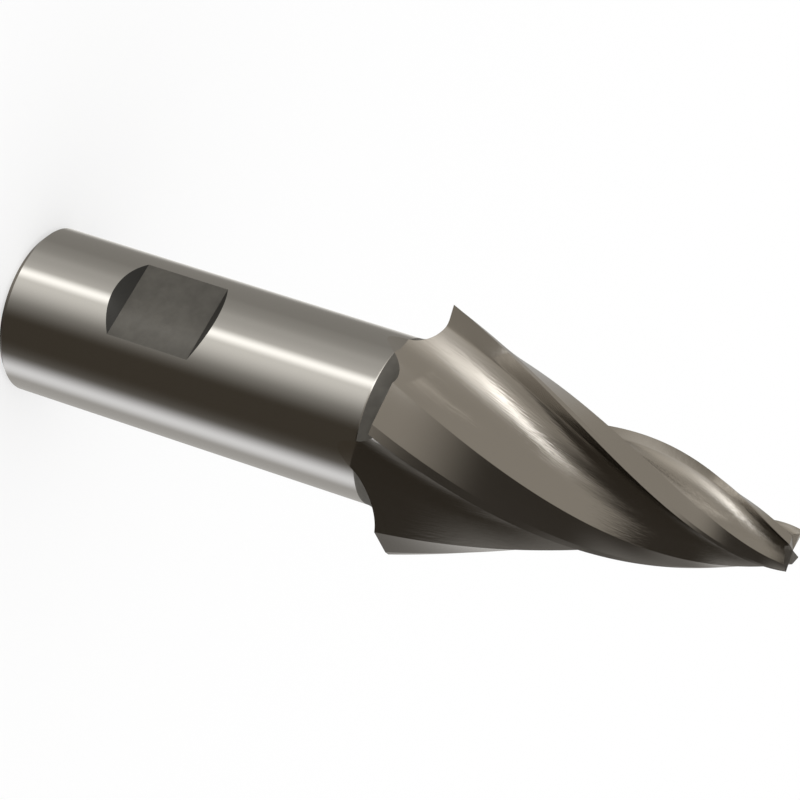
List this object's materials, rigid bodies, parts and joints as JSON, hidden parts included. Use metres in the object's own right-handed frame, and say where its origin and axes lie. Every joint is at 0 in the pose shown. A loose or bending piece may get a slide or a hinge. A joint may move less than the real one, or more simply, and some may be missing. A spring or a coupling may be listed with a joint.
{
  "type": "tapered end mill",
  "caption": "Right-hand tapered end mill with helical flutes, ground straight shank and a drive flat for a set-screw holder.",
  "frame": {"origin": "centre of the shank end face, on the tool axis", "axes": "+Z along the tool axis from the shank end to the tip; the drive flat faces -Y"},
  "size_m": [0.0332, 0.0332, 0.1235],
  "materials": {
    "tool_steel": "ground and polished high-speed steel, darker unground skin on the drive flat and in the fillet under the head"
  },
  "bodies": {
    "root": {"end_mill": "tool_steel"}
  },
  "joints": []
}
